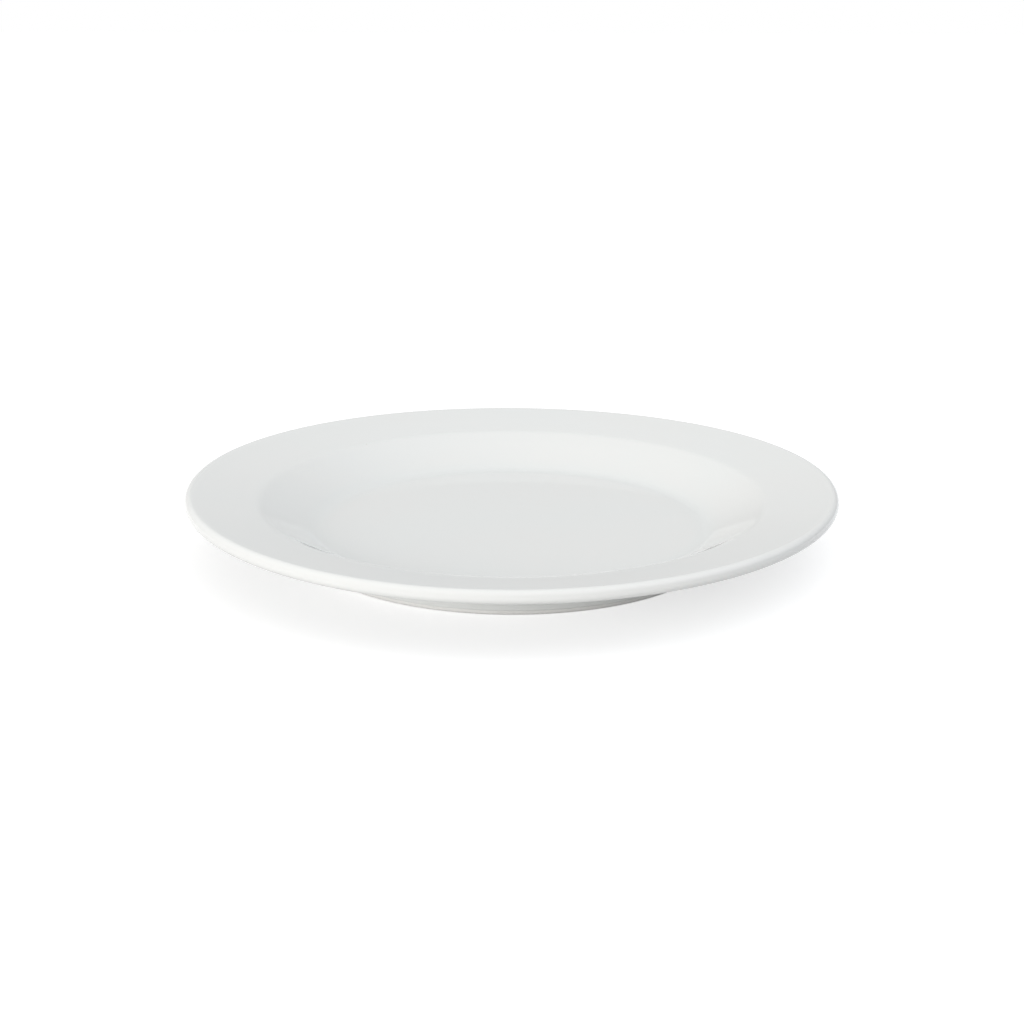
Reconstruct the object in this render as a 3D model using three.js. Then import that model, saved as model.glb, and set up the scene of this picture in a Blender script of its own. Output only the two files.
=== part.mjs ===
// Rimmed side plate in white porcelain. Millimetres, +Z up, the foot ring stands on z = 0.
// The section is drawn once, as straight runs with rounded corners, and turned about the axis.
// The two glazes are the skin of that section, and the porcelain body is the section one coat deeper.
import * as THREE from "three";

// Overall, over the glaze
const plateDiameter = 170;
const plateHeight = 17.3;

// Well
const floorHeight = 6.7;
const floorDiameter = 103;
const floorFillet = 8;
const baseThickness = 3.8;

// Flange and lip
const wellDiameter = 132;
const shoulderRadius = 6;
const flangeSlope = 9.5;
const flangeThickness = 3.4;
const lipTopRadius = 1.6;
const lipUnderRadius = 1.6;

// Underside
const wallThickness = 3.6;
const undersideRadius = 9;
const footRootRadius = 2.6;

// Foot ring
const footDiameter = 107;
const footWidth = 4.4;
const footDraft = 6;
const footEdgeRadius = 0.9;
const recessFillet = 1.6;

// Glaze, held a hair off the body, and wiped off the foot ring below the glaze line
const glazeThickness = 0.3;
const glazeSeat = 0.02;
const glazeLine = 1.2;

// Fineness of the turned surfaces: facets round the axis, degrees for a step along a rounded corner
const facetsRound = 64;
const arcStep = 20;
const fewestArcSteps = 2;
const straightLeft = 0.02;

const coat = glazeThickness + glazeSeat;
const rimRadius = plateDiameter / 2;
const footOuterRadius = footDiameter / 2;
const footInnerRadius = footOuterRadius - footWidth;
const recessHeight = floorHeight - baseThickness;
const slopeAngle = THREE.MathUtils.degToRad(flangeSlope);
const draftRun = Math.tan(THREE.MathUtils.degToRad(footDraft));

// Points of the section are (radius, height), and a line is a point with a direction
const point = (radius, height) => new THREE.Vector2(radius, height);
const line = (through, along) => ({ through, along: along.clone().normalize() });
const level = (height) => line(point(0, height), point(1, 0));
const upright = (radius, lean = 0) => line(point(radius, 0), point(lean, 1));
const leftOf = (along) => point(-along.y, along.x);

function meet(a, b) {
  const between = b.through.clone().sub(a.through);
  const distance = between.cross(b.along) / a.along.cross(b.along);
  return a.through.clone().addScaledVector(a.along, distance);
}

function below(a, thickness) {
  return line(a.through.clone().addScaledVector(leftOf(a.along), -thickness), a.along);
}

// The flange runs off the lip's top rounding, which touches both the plate's height and its diameter
const flangeRise = point(Math.cos(slopeAngle), Math.sin(slopeAngle));
const lipCentre = point(rimRadius - lipTopRadius, plateHeight - lipTopRadius);
const lipStart = lipCentre.clone().addScaledVector(leftOf(flangeRise), lipTopRadius);
const flange = line(lipStart, flangeRise);
const rim = upright(rimRadius);

// The wall drops from the shoulder to the floor, and the underside follows flange and wall
const shoulder = meet(flange, upright(wellDiameter / 2));
const floorEdge = point(floorDiameter / 2, floorHeight);
const wall = line(floorEdge, shoulder.clone().sub(floorEdge));
const flangeUnderside = below(flange, flangeThickness);
const wallUnderside = below(wall, wallThickness);

// The foot ring's skin is drawn one coat under the table, so that its bare clay stands on it
const table = level(-coat);
const wipedEdge = level(glazeLine);
const recess = level(recessHeight);
const footOutside = upright(footOuterRadius, draftRun);
const footInside = upright(footInnerRadius, -draftRun);

const corner = (at, radius = 0) => ({ at, radius });
const faceCorners = [
  corner(point(0, floorHeight)),
  corner(floorEdge, floorFillet),
  corner(shoulder, shoulderRadius),
  corner(meet(flange, rim), lipTopRadius),
  corner(meet(flangeUnderside, rim), lipUnderRadius),
  corner(meet(flangeUnderside, wallUnderside), undersideRadius),
  corner(meet(wallUnderside, footOutside), footRootRadius),
  corner(meet(wipedEdge, footOutside)),
];
const footCorners = [
  corner(meet(wipedEdge, footOutside)),
  corner(meet(table, footOutside), footEdgeRadius + coat),
  corner(meet(table, footInside), footEdgeRadius + coat),
  corner(meet(wipedEdge, footInside)),
];
const baseCorners = [
  corner(meet(wipedEdge, footInside)),
  corner(meet(recess, footInside), recessFillet),
  corner(point(0, recessHeight)),
];

// How far the section turns where two runs meet, with none at its ends
function bend(before, after) {
  return before && after ? Math.atan2(before.cross(after), before.dot(after)) : 0;
}

// Points along a run of corners, each with its outward normal, so that the run can be drawn at any depth.
// A radius is cut down where the straight runs beside it are too short to hold it.
function trace(corners) {
  const runs = corners.slice(1).map((next, i) => next.at.clone().sub(corners[i].at));
  const bends = corners.map((_, i) => bend(runs[i - 1], runs[i]));
  const tangents = corners.map((c, i) => c.radius * Math.tan(Math.abs(bends[i]) / 2));
  const room = runs.map((run, i) => ((1 - straightLeft) * run.length()) / (tangents[i] + tangents[i + 1]));

  return corners.flatMap((c, i) => {
    const share = Math.min(1, room[i - 1] ?? 1, room[i] ?? 1);
    const turn = c.radius > 0 ? bends[i] : 0;
    const reach = c.radius * share * Math.sign(turn);
    const heading = (runs[i - 1] ?? runs[i]).clone().normalize();
    const start = c.at.clone().addScaledVector(heading, -tangents[i] * share);
    const centre = start.addScaledVector(leftOf(heading), reach);
    const arcSteps = Math.max(fewestArcSteps, Math.ceil(THREE.MathUtils.radToDeg(Math.abs(turn)) / arcStep));
    const steps = turn === 0 ? 0 : arcSteps;
    return Array.from({ length: steps + 1 }, (_, k) => {
      const out = leftOf(heading).rotateAround(point(0, 0), steps === 0 ? 0 : (turn * k) / steps);
      return { at: centre.clone().addScaledVector(out, -reach), out };
    });
  });
}

const sunk = (traced, depth) => traced.map((p) => p.at.clone().addScaledVector(p.out, -depth));

// LatheGeometry turns about Y and faces outward where its profile runs from the bottom up
function turned(profile) {
  return new THREE.LatheGeometry(profile.toReversed(), facetsRound).rotateX(Math.PI / 2);
}

const face = trace(faceCorners);
const foot = trace(footCorners);
const base = trace(baseCorners);
const bodyProfile = [...sunk(face, coat), ...sunk(foot, coat).slice(1, -1), ...sunk(base, coat)];
const outerGlazeProfile = [...sunk(face, 0), ...sunk(face, glazeThickness).reverse()];
const baseGlazeProfile = [...sunk(base, glazeThickness).reverse(), ...sunk(base, 0)];

const bareClay = new THREE.MeshStandardMaterial({ color: 0xe6e3dc, roughness: 0.7, metalness: 0 });
const whiteGlaze = new THREE.MeshStandardMaterial({ color: 0xe8eae8, roughness: 0.08, metalness: 0 });

function piece(name, profile, material) {
  const mesh = new THREE.Mesh(turned(profile), material);
  mesh.name = name;
  return mesh;
}

const plate = new THREE.Group();
plate.name = "side_plate";
plate.add(piece("porcelain_body", bodyProfile, bareClay));
plate.add(piece("outer_glaze", outerGlazeProfile, whiteGlaze));
plate.add(piece("base_glaze", baseGlazeProfile, whiteGlaze));

export default plate;
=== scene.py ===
import math

import bpy
from mathutils import Matrix, Vector


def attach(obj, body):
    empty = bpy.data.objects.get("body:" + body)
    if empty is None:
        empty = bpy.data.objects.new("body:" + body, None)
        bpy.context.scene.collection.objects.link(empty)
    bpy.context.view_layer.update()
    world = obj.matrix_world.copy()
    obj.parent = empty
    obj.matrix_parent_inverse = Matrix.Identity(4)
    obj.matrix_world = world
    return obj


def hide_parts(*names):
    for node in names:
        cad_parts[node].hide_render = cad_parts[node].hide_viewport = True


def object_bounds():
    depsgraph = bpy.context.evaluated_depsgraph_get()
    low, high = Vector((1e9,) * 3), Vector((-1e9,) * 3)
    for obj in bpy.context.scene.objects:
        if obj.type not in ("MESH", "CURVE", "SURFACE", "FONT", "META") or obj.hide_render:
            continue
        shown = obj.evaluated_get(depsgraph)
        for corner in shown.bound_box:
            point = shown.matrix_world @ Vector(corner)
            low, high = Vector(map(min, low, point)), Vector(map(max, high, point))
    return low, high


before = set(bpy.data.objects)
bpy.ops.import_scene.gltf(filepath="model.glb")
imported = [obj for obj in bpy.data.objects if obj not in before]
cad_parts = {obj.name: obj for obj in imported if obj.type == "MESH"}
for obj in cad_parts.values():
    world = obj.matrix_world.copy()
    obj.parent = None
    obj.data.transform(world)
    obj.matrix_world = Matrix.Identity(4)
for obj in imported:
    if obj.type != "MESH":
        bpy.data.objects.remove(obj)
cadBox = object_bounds()
print("frame loaded:", ", ".join(sorted(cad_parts)))

mm = 0.001

# The plate's section, over the glaze, in millimetres and degrees
plate = {
    "rimRadius": cadBox[1][0] / mm,
    "height": 17.3,
    "floorHeight": 6.7,
    "floorRadius": 51.5,
    "floorFillet": 8.0,
    "baseThickness": 3.8,
    "wellRadius": 66.0,
    "shoulderRadius": 6.0,
    "flangeSlope": 9.5,
    "flangeThickness": 3.4,
    "lipTopRadius": 1.6,
    "lipUnderRadius": 1.6,
    "wallThickness": 3.6,
    "undersideRadius": 9.0,
    "footRootRadius": 2.6,
    "footRadius": 53.5,
    "footWidth": 4.4,
    "footDraft": 6.0,
    "footEdgeRadius": 0.9,
    "recessFillet": 1.6,
    "glazeThickness": 0.3,
    "glazeSeat": 0.02,
    "glazeLine": 1.2,
    "glazeBead": 0.55,
}

# What the kiln and the jigger leave: the flange lifts a little at two sides, the surfaces wander slightly
firing = {
    "Rim Warp": 0.45 * mm,
    "Warp Curve": 1.3,
    "Warp Turn": math.radians(-8.0),
    "Wave Height": 0.012 * mm,
    "Wave Size": 34.0 * mm,
    "Wave Seed": 4.0,
}


# Section geometry: points are (radius, height), a line is a point and a direction
def level(height):
    return Vector((0.0, height)), Vector((1.0, 0.0))


def upright(radius, lean=0.0):
    return Vector((radius, 0.0)), Vector((lean, 1.0)).normalized()


def leftOf(along):
    return Vector((-along.y, along.x))


def meet(a, b):
    between = b[0] - a[0]
    return a[0] + a[1] * (between.cross(b[1]) / a[1].cross(b[1]))


def below(run, thickness):
    return run[0] - leftOf(run[1]) * thickness, run[1]


# Points along straight runs with rounded corners, each with its outward normal
def traceRuns(corners, arcStep, runStep):
    places = [Vector(c[0]) for c in corners]
    runs = [b - a for a, b in zip(places, places[1:])]
    traced = []
    for i, (place, radius) in enumerate(corners):
        heading = runs[max(i - 1, 0)].normalized()
        turn = 0.0
        if 0 < i < len(runs) and radius > 0:
            turn = math.atan2(runs[i - 1].cross(runs[i]), runs[i - 1].dot(runs[i]))
        tangent = radius * math.tan(abs(turn) / 2)
        reach = math.copysign(radius, turn) if turn else 0.0
        start = place - heading * tangent
        centre = start + leftOf(heading) * reach
        steps = math.ceil(math.degrees(abs(turn)) / arcStep)
        arc = []
        for k in range(steps + 1):
            out = Matrix.Rotation(turn * k / steps if steps else 0.0, 2) @ leftOf(heading)
            arc.append((centre - out * reach, out))
        if traced:
            last = traced[-1][0]
            cuts = max(1, round((arc[0][0] - last).length / runStep))
            traced += [(last.lerp(arc[0][0], k / cuts), arc[0][1]) for k in range(1, cuts)]
        traced += arc
    return traced


def sunk(traced, depth):
    return [at - out * depth for at, out in traced]


# The coat runs out in a rounded bead where it was wiped off the foot, at the end of its trace
def beaded(traced, depth, bead):
    edge = traced[-1][0]
    skin = []
    for at, out in traced:
        left = max(0.0, 1.0 - (at - edge).length / bead)
        skin.append(at - out * depth * (1.0 - math.sqrt(1.0 - left * left)))
    return skin


def plateCorners(p):
    coat = p["glazeThickness"] + p["glazeSeat"]
    slope = math.radians(p["flangeSlope"])
    draft = math.tan(math.radians(p["footDraft"]))
    recessHeight = p["floorHeight"] - p["baseThickness"]
    flangeRise = Vector((math.cos(slope), math.sin(slope)))
    lipCentre = Vector((p["rimRadius"] - p["lipTopRadius"], p["height"] - p["lipTopRadius"]))
    flange = (lipCentre + leftOf(flangeRise) * p["lipTopRadius"], flangeRise)
    rim = upright(p["rimRadius"])
    shoulder = meet(flange, upright(p["wellRadius"]))
    floorEdge = Vector((p["floorRadius"], p["floorHeight"]))
    wall = (floorEdge, (shoulder - floorEdge).normalized())
    flangeUnder = below(flange, p["flangeThickness"])
    wallUnder = below(wall, p["wallThickness"])
    table = level(-coat)                      # the bare clay, one coat deeper, stands on z = 0
    wiped = level(p["glazeLine"])
    footOutside = upright(p["footRadius"], draft)
    footInside = upright(p["footRadius"] - p["footWidth"], -draft)
    outerEdge = meet(wiped, footOutside)
    innerEdge = meet(wiped, footInside)
    face = [
        (Vector((0.0, p["floorHeight"])), 0.0),
        (floorEdge, p["floorFillet"]),
        (shoulder, p["shoulderRadius"]),
        (meet(flange, rim), p["lipTopRadius"]),
        (meet(flangeUnder, rim), p["lipUnderRadius"]),
        (meet(flangeUnder, wallUnder), p["undersideRadius"]),
        (meet(wallUnder, footOutside), p["footRootRadius"]),
        (outerEdge, 0.0),
    ]
    foot = [
        (outerEdge, 0.0),
        (meet(table, footOutside), p["footEdgeRadius"] + coat),
        (meet(table, footInside), p["footEdgeRadius"] + coat),
        (innerEdge, 0.0),
    ]
    base = [
        (innerEdge, 0.0),
        (meet(level(recessHeight), footInside), p["recessFillet"]),
        (Vector((0.0, recessHeight)), 0.0),
    ]
    return face, foot, base


# A sum in any node tree, of numbers and sockets
def mathNode(tree, operation, a, b=None, clamp=False):
    node = tree.nodes.new("ShaderNodeMath")
    node.operation = operation
    node.use_clamp = clamp
    for socket, value in zip(node.inputs, (a, b)):
        if isinstance(value, (int, float)):
            socket.default_value = value
        elif value is not None:
            tree.links.new(value, socket)
    return node.outputs[0]


# The jigger: a section of n points is turned about Z on a grid of n by facets, then fired
def plateTurning():
    tree = bpy.data.node_groups.new("plateTurning", "GeometryNodeTree")
    face = tree.interface
    face.new_socket("Section", in_out="INPUT", socket_type="NodeSocketGeometry")
    face.new_socket("Facets Round", in_out="INPUT", socket_type="NodeSocketInt")
    for name in ("Rim Radius", "Warp Start", "Rim Warp", "Warp Curve", "Warp Turn", "Ring Height",
                 "Ring Spacing", "Ring Reach", "Wave Height", "Wave Size", "Wave Seed", "Still Height",
                 "Weld Reach"):
        face.new_socket(name, in_out="INPUT", socket_type="NodeSocketFloat")
    face.new_socket("Finish", in_out="INPUT", socket_type="NodeSocketMaterial")
    face.new_socket("Turned", in_out="OUTPUT", socket_type="NodeSocketGeometry")
    nodes, links = tree.nodes, tree.links
    given = nodes.new("NodeGroupInput").outputs

    def calc(operation, a, b=None, clamp=False):
        return mathNode(tree, operation, a, b, clamp)

    # grid of section points by facets
    count = nodes.new("GeometryNodeAttributeDomainSize")
    links.new(given["Section"], count.inputs["Geometry"])
    points = count.outputs["Point Count"]
    grid = nodes.new("GeometryNodeMeshGrid")
    links.new(calc("ADD", given["Facets Round"], 1), grid.inputs["Vertices X"])
    links.new(points, grid.inputs["Vertices Y"])
    index = nodes.new("GeometryNodeInputIndex").outputs[0]
    along = calc("MODULO", index, points)
    turn = calc("FLOOR", calc("DIVIDE", index, points))
    angle = calc("DIVIDE", calc("MULTIPLY", turn, 2 * math.pi), given["Facets Round"])
    spot = nodes.new("GeometryNodeSampleIndex")
    spot.data_type = "FLOAT_VECTOR"
    links.new(given["Section"], spot.inputs["Geometry"])
    links.new(nodes.new("GeometryNodeInputPosition").outputs[0], spot.inputs["Value"])
    links.new(along, spot.inputs["Index"])
    drawn = nodes.new("ShaderNodeSeparateXYZ")
    links.new(spot.outputs[0], drawn.inputs[0])
    radius, height = drawn.outputs["X"], drawn.outputs["Z"]
    drawnPlace, place = nodes.new("ShaderNodeCombineXYZ"), nodes.new("ShaderNodeCombineXYZ")
    for axis, part in (("X", calc("COSINE", angle)), ("Y", calc("SINE", angle))):
        across = calc("MULTIPLY", radius, part)
        links.new(across, drawnPlace.inputs[axis])
        links.new(across, place.inputs[axis])
    links.new(height, drawnPlace.inputs["Z"])

    # firing: a saddle on the flange, faint turning rings about the middle, a slow wander all over
    lift = calc("DIVIDE", calc("SUBTRACT", radius, given["Warp Start"]),
                calc("SUBTRACT", given["Rim Radius"], given["Warp Start"]), clamp=True)
    saddle = calc("COSINE", calc("MULTIPLY", calc("SUBTRACT", angle, given["Warp Turn"]), 2))
    warp = calc("MULTIPLY", calc("POWER", lift, given["Warp Curve"]), saddle)
    warp = calc("MULTIPLY", warp, given["Rim Warp"])
    ringPhase = calc("DIVIDE", calc("MULTIPLY", radius, 2 * math.pi), given["Ring Spacing"])
    ringFade = calc("SUBTRACT", 1, calc("DIVIDE", radius, given["Ring Reach"]), clamp=True)
    ring = calc("MULTIPLY", calc("MULTIPLY", calc("SINE", ringPhase), ringFade), given["Ring Height"])
    wander = nodes.new("ShaderNodeTexNoise")
    wander.noise_dimensions = "4D"
    wander.inputs["Detail"].default_value = 1.0
    links.new(drawnPlace.outputs[0], wander.inputs["Vector"])
    links.new(given["Wave Seed"], wander.inputs["W"])
    links.new(calc("DIVIDE", 1, given["Wave Size"]), wander.inputs["Scale"])
    still = calc("DIVIDE", height, given["Still Height"], clamp=True)   # the foot stays flat on the table
    wave = calc("MULTIPLY", calc("SUBTRACT", wander.outputs[0], 0.5), given["Wave Height"])
    fired = calc("ADD", calc("ADD", warp, ring), calc("MULTIPLY", wave, still))
    links.new(calc("ADD", height, fired), place.inputs["Z"])

    shape = nodes.new("GeometryNodeSetPosition")
    links.new(grid.outputs["Mesh"], shape.inputs["Geometry"])
    links.new(place.outputs[0], shape.inputs["Position"])
    weld = nodes.new("GeometryNodeMergeByDistance")
    links.new(shape.outputs[0], weld.inputs["Geometry"])
    links.new(given["Weld Reach"], weld.inputs["Distance"])
    outward = nodes.new("GeometryNodeFlipFaces")
    links.new(weld.outputs[0], outward.inputs[0])
    smooth = nodes.new("GeometryNodeSetShadeSmooth")
    links.new(outward.outputs[0], smooth.inputs["Geometry"])
    real = nodes.new("GeometryNodeRealizeInstances")
    links.new(smooth.outputs[0], real.inputs["Geometry"])
    finish = nodes.new("GeometryNodeSetMaterial")
    links.new(real.outputs[0], finish.inputs["Geometry"])
    links.new(given["Finish"], finish.inputs["Material"])
    links.new(finish.outputs[0], nodes.new("NodeGroupOutput").inputs["Turned"])
    return tree


def turnPiece(name, tree, section, sizes, finish, crease=50.0):
    blank = bpy.data.meshes.new(name + "Section")
    edges = [(i, i + 1) for i in range(len(section) - 1)]
    blank.from_pydata([(p.x * mm, 0.0, p.y * mm) for p in section], edges, [])
    piece = bpy.data.objects.new(name, blank)
    bpy.context.collection.objects.link(piece)
    turning = piece.modifiers.new("turning", "NODES")
    turning.node_group = tree
    values = dict(sizes, Finish=finish)
    for item in tree.interface.items_tree:
        if item.in_out == "INPUT" and item.name in values:
            turning[item.identifier] = values[item.name]
    seen = bpy.context.evaluated_depsgraph_get()
    mesh = bpy.data.meshes.new_from_object(piece.evaluated_get(seen), depsgraph=seen)
    piece.modifiers.remove(turning)
    piece.data = mesh
    mesh.name = name
    bpy.data.meshes.remove(blank)
    mesh.set_sharp_from_angle(angle=math.radians(crease))
    print(name, len(mesh.polygons), "faces")
    return piece


# Shader helpers
def newFinish(name):
    finish = bpy.data.materials.new(name)
    finish.use_nodes = True
    tree = finish.node_tree
    shader = tree.nodes["Principled BSDF"]
    coords = tree.nodes.new("ShaderNodeTexCoord").outputs["Object"]
    return finish, tree, shader, coords


def addNode(tree, kind, settings=None, **inputs):
    node = tree.nodes.new(kind)
    for key, value in (settings or {}).items():
        setattr(node, key, value)
    for key, value in inputs.items():
        socket = node.inputs[key.replace("_", " ")]
        if isinstance(value, bpy.types.NodeSocket):
            tree.links.new(value, socket)
        else:
            socket.default_value = value
    return node


def noiseOf(tree, coords, size, detail=2.0, roughness=0.5):
    return addNode(tree, "ShaderNodeTexNoise", Vector=coords, Scale=1.0 / size, Detail=detail,
                   Roughness=roughness).outputs["Fac"]


def spread(tree, value, low, high, to=(0.0, 1.0), smooth=False):
    node = addNode(tree, "ShaderNodeMapRange", {"interpolation_type": "SMOOTHSTEP" if smooth else "LINEAR"},
                   Value=value, From_Min=low, From_Max=high, To_Min=to[0], To_Max=to[1])
    return node.outputs["Result"]


def mixColour(tree, amount, a, b):
    node = tree.nodes.new("ShaderNodeMix")
    node.data_type = "RGBA"
    for socket, value in ((node.inputs[0], amount), (node.inputs[6], a), (node.inputs[7], b)):
        if isinstance(value, bpy.types.NodeSocket):
            tree.links.new(value, socket)
        elif isinstance(value, (tuple, list)):
            socket.default_value = (*value, 1.0)
        else:
            socket.default_value = value
    return node.outputs[2]


def radiusFrom(tree, coords):
    flat = addNode(tree, "ShaderNodeVectorMath", {"operation": "MULTIPLY"})
    tree.links.new(coords, flat.inputs[0])
    flat.inputs[1].default_value = (1.0, 1.0, 0.0)
    length = addNode(tree, "ShaderNodeVectorMath", {"operation": "LENGTH"})
    tree.links.new(flat.outputs[0], length.inputs[0])
    return length.outputs["Value"]


whiteGlazeLook = {
    "colour": (0.800, 0.815, 0.800),
    "warmPatch": (0.806, 0.813, 0.796),
    "pooled": (0.796, 0.814, 0.800),          # thicker in the corner of the well
    "thin": (0.812, 0.820, 0.803),            # drawn thin over the lip
    "patchSize": 38.0 * mm,
    "patchEdges": (0.35, 0.65),
    "poolRadius": plate["floorRadius"] * mm,
    "poolWidth": 5.0 * mm,
    "lipRadius": (plate["rimRadius"] - 1.0) * mm,
    "lipWidth": 2.2 * mm,
    "roughness": (0.018, 0.03),
    "glossSize": 14.0 * mm,
    "glossEdges": (0.3, 0.7),
    "ior": 1.5,
    "peelSize": 5.0 * mm,
    "peelHeight": 0.0006 * mm,
    "speckSpacing": 21.0 * mm,
    "speckSize": 0.010,                       # of the spacing
    "speckCore": 0.5,                         # of the speck
    "speckShare": 0.07,
    "speckStrength": 0.7,
    "speckColour": (0.58, 0.54, 0.46),
}


def makeWhiteGlaze(look):
    finish, tree, shader, coords = newFinish("whiteGlaze")
    radius = radiusFrom(tree, coords)
    patches = spread(tree, noiseOf(tree, coords, look["patchSize"]), *look["patchEdges"])
    colour = mixColour(tree, patches, look["colour"], look["warmPatch"])
    offPool = mathNode(tree, "ABSOLUTE", mathNode(tree, "SUBTRACT", radius, look["poolRadius"]))
    inPool = spread(tree, offPool, look["poolWidth"], 0.0, smooth=True)
    colour = mixColour(tree, inPool, colour, look["pooled"])
    onLip = spread(tree, radius, look["lipRadius"] - look["lipWidth"], look["lipRadius"], smooth=True)
    colour = mixColour(tree, onLip, colour, look["thin"])
    # a few iron specks, the size of a pinprick
    specks = addNode(tree, "ShaderNodeTexVoronoi", {"voronoi_dimensions": "2D"}, Vector=coords,
                     Scale=1.0 / look["speckSpacing"])
    core = look["speckSize"] * look["speckCore"]
    near = spread(tree, specks.outputs["Distance"], look["speckSize"], core, smooth=True)
    drawn = addNode(tree, "ShaderNodeSeparateColor")
    tree.links.new(specks.outputs["Color"], drawn.inputs[0])
    chosen = mathNode(tree, "LESS_THAN", drawn.outputs[0], look["speckShare"])
    speck = mathNode(tree, "MULTIPLY", mathNode(tree, "MULTIPLY", near, chosen), look["speckStrength"])
    colour = mixColour(tree, speck, colour, look["speckColour"])
    tree.links.new(colour, shader.inputs["Base Color"])
    gloss = spread(tree, noiseOf(tree, coords, look["glossSize"]), *look["glossEdges"], look["roughness"])
    tree.links.new(gloss, shader.inputs["Roughness"])
    shader.inputs["IOR"].default_value = look["ior"]
    peel = addNode(tree, "ShaderNodeBump", Height=noiseOf(tree, coords, look["peelSize"]),
                   Distance=look["peelHeight"], Strength=1.0)
    tree.links.new(peel.outputs[0], shader.inputs["Normal"])
    return finish


bareClayLook = {
    "colour": (0.84, 0.84, 0.82),
    "mottle": (0.82, 0.818, 0.795),
    "rubbed": (0.62, 0.618, 0.605),           # grey from sliding on tables
    "mottleNoise": (3.0 * mm, 4.0, 0.65),     # size, detail, roughness
    "mottleEdges": (0.35, 0.7),
    "rubNoise": (9.0 * mm, 6.0, 0.7),
    "rubEdges": (0.5, 0.68),
    "rubHeight": 0.35 * mm,
    "grainNoise": (0.25 * mm, 3.0),
    "grainEdges": (0.3, 0.7),
    "grainHeight": 0.02 * mm,
    "grainStrength": 0.6,
    "roughness": (0.6, 0.85),
}


def makeBareClay(look):
    finish, tree, shader, coords = newFinish("bareClay")
    mottle = spread(tree, noiseOf(tree, coords, *look["mottleNoise"]), *look["mottleEdges"])
    colour = mixColour(tree, mottle, look["colour"], look["mottle"])
    height = addNode(tree, "ShaderNodeSeparateXYZ")
    tree.links.new(coords, height.inputs[0])
    low = spread(tree, height.outputs["Z"], look["rubHeight"], 0.0, smooth=True)
    rubs = spread(tree, noiseOf(tree, coords, *look["rubNoise"]), *look["rubEdges"])
    rubbed = mathNode(tree, "MULTIPLY", low, rubs)
    colour = mixColour(tree, rubbed, colour, look["rubbed"])
    tree.links.new(colour, shader.inputs["Base Color"])
    grain = noiseOf(tree, coords, *look["grainNoise"])
    tree.links.new(spread(tree, grain, *look["grainEdges"], look["roughness"]), shader.inputs["Roughness"])
    bump = addNode(tree, "ShaderNodeBump", Height=grain, Distance=look["grainHeight"],
                   Strength=look["grainStrength"])
    tree.links.new(bump.outputs[0], shader.inputs["Normal"])
    return finish


whiteGlaze = makeWhiteGlaze(whiteGlazeLook)
bareClay = makeBareClay(bareClayLook)
print("finishes made")

# Fineness of each piece: degrees a step on an arc, millimetres a step on a straight run
outerGlaze = {"arcStep": 4.0, "runStep": 1.6, "innerArcStep": 12.0, "innerRunStep": 20.0, "beadStep": 0.06}
baseGlaze = {"arcStep": 6.0, "runStep": 2.0, "innerArcStep": 15.0, "innerRunStep": 20.0, "beadStep": 0.06}
porcelainBody = {"arcStep": 8.0, "runStep": 4.0, "footArcStep": 6.0, "footRunStep": 0.5}
turningSizes = dict(firing, **{
    "Facets Round": 360,
    "Rim Radius": plate["rimRadius"] * mm,
    "Warp Start": plate["footRadius"] * mm,
    "Ring Height": 0.0035 * mm,
    "Ring Spacing": 5.5 * mm,
    "Ring Reach": 34.0 * mm,
    "Still Height": plate["floorHeight"] * mm,
    "Weld Reach": 0.001 * mm,
})

coat = plate["glazeThickness"] + plate["glazeSeat"]
faceCorners, footCorners, baseCorners = plateCorners(plate)
jigger = plateTurning()


# A glaze is its skin, beaded at the wiped edge, and its inside face one coat deeper
def glazeSection(corners, sizes):
    skin = traceRuns(corners, sizes["arcStep"], sizes["runStep"])
    bead = plate["glazeBead"]
    edge = skin[-1]
    whole = [s for s in skin[:-1] if (s[0] - edge[0]).length > bead]
    room = (edge[0] - whole[-1][0]).length
    cuts = math.ceil(room / sizes["beadStep"])
    fine = [(whole[-1][0].lerp(edge[0], k / cuts), edge[1]) for k in range(1, cuts + 1)]
    outside = beaded(whole + fine, plate["glazeThickness"], bead)
    inside = sunk(traceRuns(corners, sizes["innerArcStep"], sizes["innerRunStep"]), plate["glazeThickness"])
    return outside, inside


outside, inside = glazeSection(faceCorners, outerGlaze)
glazedFace = turnPiece("glazed_face", jigger, outside + inside[-2::-1], turningSizes, whiteGlaze)

flipped = [(Vector((-at.x, at.y)), r) for at, r in reversed(baseCorners)]
outside, inside = glazeSection(flipped, baseGlaze)
mirrored = [Vector((abs(p.x), p.y)) for p in outside + inside[-2::-1]]
glazedBase = turnPiece("glazed_base", jigger, mirrored[::-1], turningSizes, whiteGlaze)

bodySteps = porcelainBody["arcStep"], porcelainBody["runStep"]
footSteps = porcelainBody["footArcStep"], porcelainBody["footRunStep"]
bodySection = sunk(traceRuns(faceCorners, *bodySteps), coat)
bodySection += sunk(traceRuns(footCorners, *footSteps), coat)[1:-1]
bodySection += sunk(traceRuns(baseCorners, *bodySteps), coat)
clayBody = turnPiece("clay_body", jigger, bodySection, turningSizes, bareClay)

for piece, node, slot in ((clayBody, "porcelain_body", "bare_porcelain"),
                          (glazedFace, "outer_glaze", "white_glaze"),
                          (glazedBase, "base_glaze", "white_glaze")):
    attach(piece, "root")
    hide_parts(node)
print("plate pieces placed")

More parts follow.
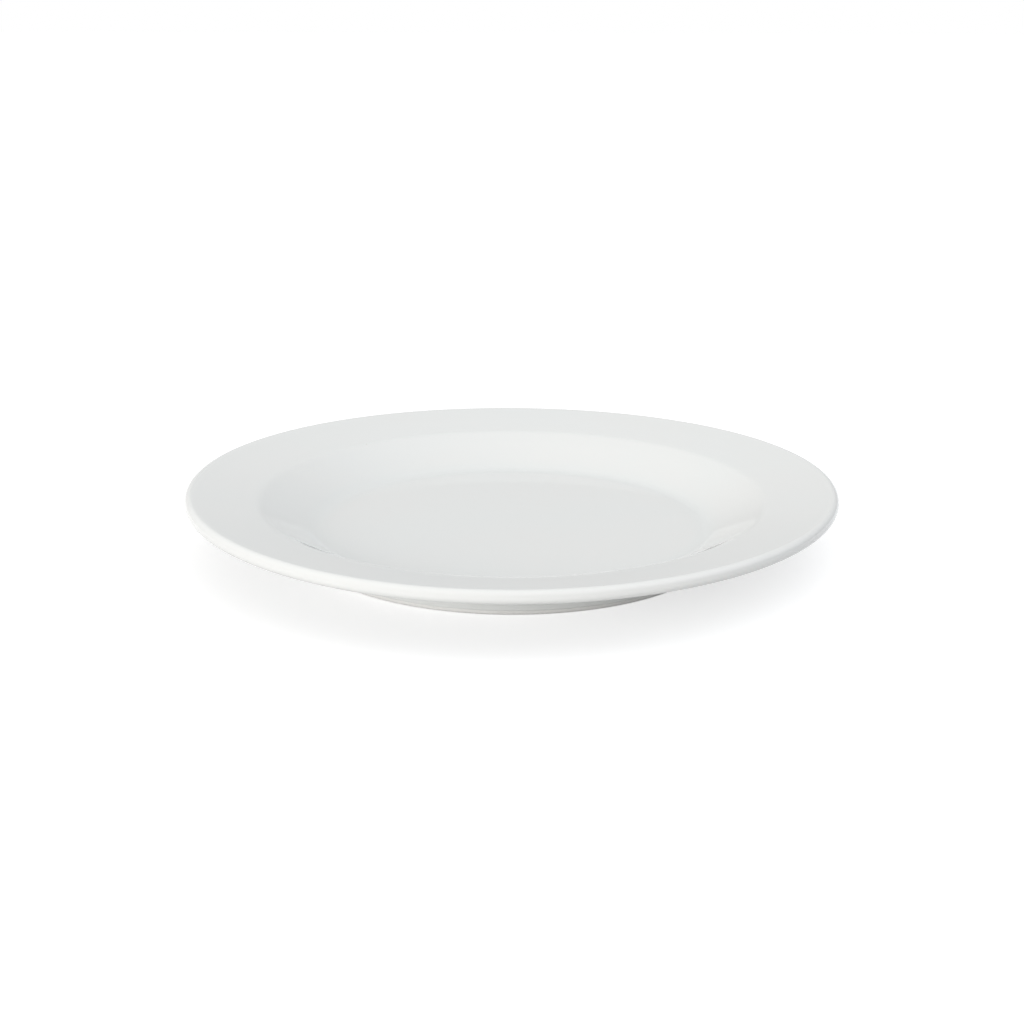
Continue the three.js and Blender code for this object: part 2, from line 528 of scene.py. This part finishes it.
# Studio: a pale floor that shows white and keeps the shadow, a light tent, one soft box
studio = {
    "floorSize": 3.0,
    "floorColour": (0.6, 0.6, 0.6),
    "floorGlow": 0.6,
}
clothTint = (0.999, 1.0, 0.998)
skyTint = (0.957, 1.0, 1.075)
tent = {
    "radius": 2.2,
    "facets": 48,
    "rows": 14,
    "hem": -2.0,                              # its edge hangs just below the floor
    "panels": {                               # turn from the front, rise, narrowness, glow, tint
        "top": (0.0, 90.0, 2.0, 0.94, clothTint),
        "left": (-90.0, 0.0, 2.0, 0.54, clothTint),
        "back": (180.0, 0.0, 2.0, 0.59, clothTint),
        "front": (0.0, 0.0, 2.0, 0.15, clothTint),
        "rightWindow": (90.0, 40.0, 6.0, 1.09, skyTint),
        "backLeft": (-135.0, 20.0, 6.0, 0.30, clothTint),
        "backRight": (135.0, 20.0, 6.0, 0.26, clothTint),
    },
}
softBox = {
    "turn": -30.0,
    "rise": 13.0,
    "distance": 1.3,
    "size": (1.1, 0.45),
    "target": (0.0, 0.0, 0.01),
    "power": 10.7,
    "tint": (1.0, 0.98, 0.968),
}


# Where something stands as seen from the plate: degrees round from the front, degrees up
def towards(turn, rise):
    turn, rise = math.radians(turn), math.radians(rise)
    return Vector((math.cos(rise) * math.sin(turn), -math.cos(rise) * math.cos(turn), math.sin(rise)))


def shownRays(tree):
    path = tree.nodes.new("ShaderNodeLightPath").outputs
    seen = mathNode(tree, "MAXIMUM", path["Is Camera Ray"], path["Is Glossy Ray"])
    return mathNode(tree, "MAXIMUM", seen, path["Is Transmission Ray"])


def makeWorld():
    world = bpy.data.worlds.new("studioWorld")
    bpy.context.scene.world = world
    world.use_nodes = True
    tree = world.node_tree
    tree.nodes.clear()
    white = addNode(tree, "ShaderNodeBackground", Color=(1.0, 1.0, 1.0, 1.0))
    tree.links.new(shownRays(tree), white.inputs["Strength"])
    tree.links.new(white.outputs[0], tree.nodes.new("ShaderNodeOutputWorld").inputs["Surface"])


# Half a sphere of lit cloth round the table, unseen by the camera; each panel's glow fades into the next
def makeTent(look):
    rows, around, radius, hem = look["rows"], look["facets"], look["radius"], look["hem"]
    spots = [towards(360 * i / around, hem + (90 - hem) * j / rows) * radius
             for j in range(rows) for i in range(around)]
    spots.append(Vector((0.0, 0.0, radius)))
    faces = []
    for i in range(around):
        k = (i + 1) % around
        faces += [(j * around + k, j * around + i, (j + 1) * around + i, (j + 1) * around + k)
                  for j in range(rows - 1)]
        faces.append(((rows - 1) * around + k, (rows - 1) * around + i, len(spots) - 1))
    mesh = bpy.data.meshes.new("lightTent")
    mesh.from_pydata(spots, [], faces)
    cloth = bpy.data.materials.new("tentCloth")
    cloth.use_nodes = True
    tree = cloth.node_tree
    tree.nodes.clear()
    way = addNode(tree, "ShaderNodeVectorMath", {"operation": "NORMALIZE"})
    tree.links.new(tree.nodes.new("ShaderNodeTexCoord").outputs["Object"], way.inputs[0])
    lit = None
    for turn, rise, narrowness, strength, tint in look["panels"].values():
        facing = addNode(tree, "ShaderNodeVectorMath", {"operation": "DOT_PRODUCT"})
        tree.links.new(way.outputs[0], facing.inputs[0])
        facing.inputs[1].default_value = towards(turn, rise)
        share = mathNode(tree, "POWER", mathNode(tree, "MAXIMUM", facing.outputs["Value"], 0.0), narrowness)
        glow = mathNode(tree, "MULTIPLY", share, strength)
        panel = addNode(tree, "ShaderNodeEmission", Color=(*tint, 1.0), Strength=glow).outputs[0]
        if lit:
            both = tree.nodes.new("ShaderNodeAddShader")
            tree.links.new(lit, both.inputs[0])
            tree.links.new(panel, both.inputs[1])
            panel = both.outputs[0]
        lit = panel
    tree.links.new(lit, tree.nodes.new("ShaderNodeOutputMaterial").inputs["Surface"])
    mesh.materials.append(cloth)
    dome = bpy.data.objects.new("lightTent", mesh)
    dome.visible_camera = False
    bpy.context.collection.objects.link(dome)


def makeFloor(look):
    half = look["floorSize"] / 2
    mesh = bpy.data.meshes.new("studioFloor")
    corners = [(-half, -half, 0), (half, -half, 0), (half, half, 0), (-half, half, 0)]
    mesh.from_pydata(corners, [], [(0, 1, 2, 3)])
    floor = bpy.data.objects.new("studioFloor", mesh)
    bpy.context.collection.objects.link(floor)
    paint = bpy.data.materials.new("paleFloor")
    paint.use_nodes = True
    tree = paint.node_tree
    tree.nodes.clear()
    matte = addNode(tree, "ShaderNodeBsdfDiffuse", Color=(*look["floorColour"], 1.0))
    glow = addNode(tree, "ShaderNodeEmission", Color=(1.0, 1.0, 1.0, 1.0))
    tree.links.new(mathNode(tree, "MULTIPLY", shownRays(tree), look["floorGlow"]), glow.inputs["Strength"])
    both = tree.nodes.new("ShaderNodeAddShader")
    tree.links.new(matte.outputs[0], both.inputs[0])
    tree.links.new(glow.outputs[0], both.inputs[1])
    tree.links.new(both.outputs[0], tree.nodes.new("ShaderNodeOutputMaterial").inputs["Surface"])
    mesh.materials.append(paint)


def addSoftBox(look):
    lamp = bpy.data.lights.new("softBox", "AREA")
    lamp.shape = "RECTANGLE"
    lamp.size, lamp.size_y = look["size"]
    lamp.energy = look["power"]
    lamp.color = look["tint"]
    box = bpy.data.objects.new("softBox", lamp)
    box.location = towards(look["turn"], look["rise"]) * look["distance"]
    box.rotation_euler = (Vector(look["target"]) - box.location).to_track_quat("-Z", "Y").to_euler()
    box.visible_glossy = False               # its cloth is part of the tent in reflections
    bpy.context.collection.objects.link(box)


makeWorld()
makeFloor(studio)
makeTent(tent)
addSoftBox(softBox)
print("studio lit")

# Camera, as the photograph was framed: lengths in metres, pixels of a 1024 frame
view = {
    "aim": (0.0, 0.0, 15.7 * mm),
    "distance": 0.6,
    "elevation": 16.4,
    "pixelsPerMetre": 3815.0,
    "aimPixel": (511.75, 491.2),
    "roll": 0.149,
    "frame": 1024.0,
    "sensor": 36.0,
    "nearest": 0.01,
}


def addCamera(look):
    lens = bpy.data.cameras.new("plateCamera")
    lens.sensor_width = look["sensor"]
    lens.lens = look["pixelsPerMetre"] * look["distance"] / look["frame"] * look["sensor"]
    lens.shift_x = (look["frame"] / 2 - look["aimPixel"][0]) / look["frame"]
    lens.shift_y = (look["aimPixel"][1] - look["frame"] / 2) / look["frame"]
    lens.clip_start = look["nearest"]
    camera = bpy.data.objects.new("plateCamera", lens)
    back = towards(0.0, look["elevation"])
    camera.location = Vector(look["aim"]) + back * look["distance"]
    facing = back.to_track_quat("Z", "Y").to_matrix()
    camera.rotation_euler = (facing @ Matrix.Rotation(math.radians(look["roll"]), 3, "Z")).to_euler()
    bpy.context.collection.objects.link(camera)
    bpy.context.scene.camera = camera


addCamera(view)
bpy.context.scene.view_settings.view_transform = "Standard"
print("camera set")
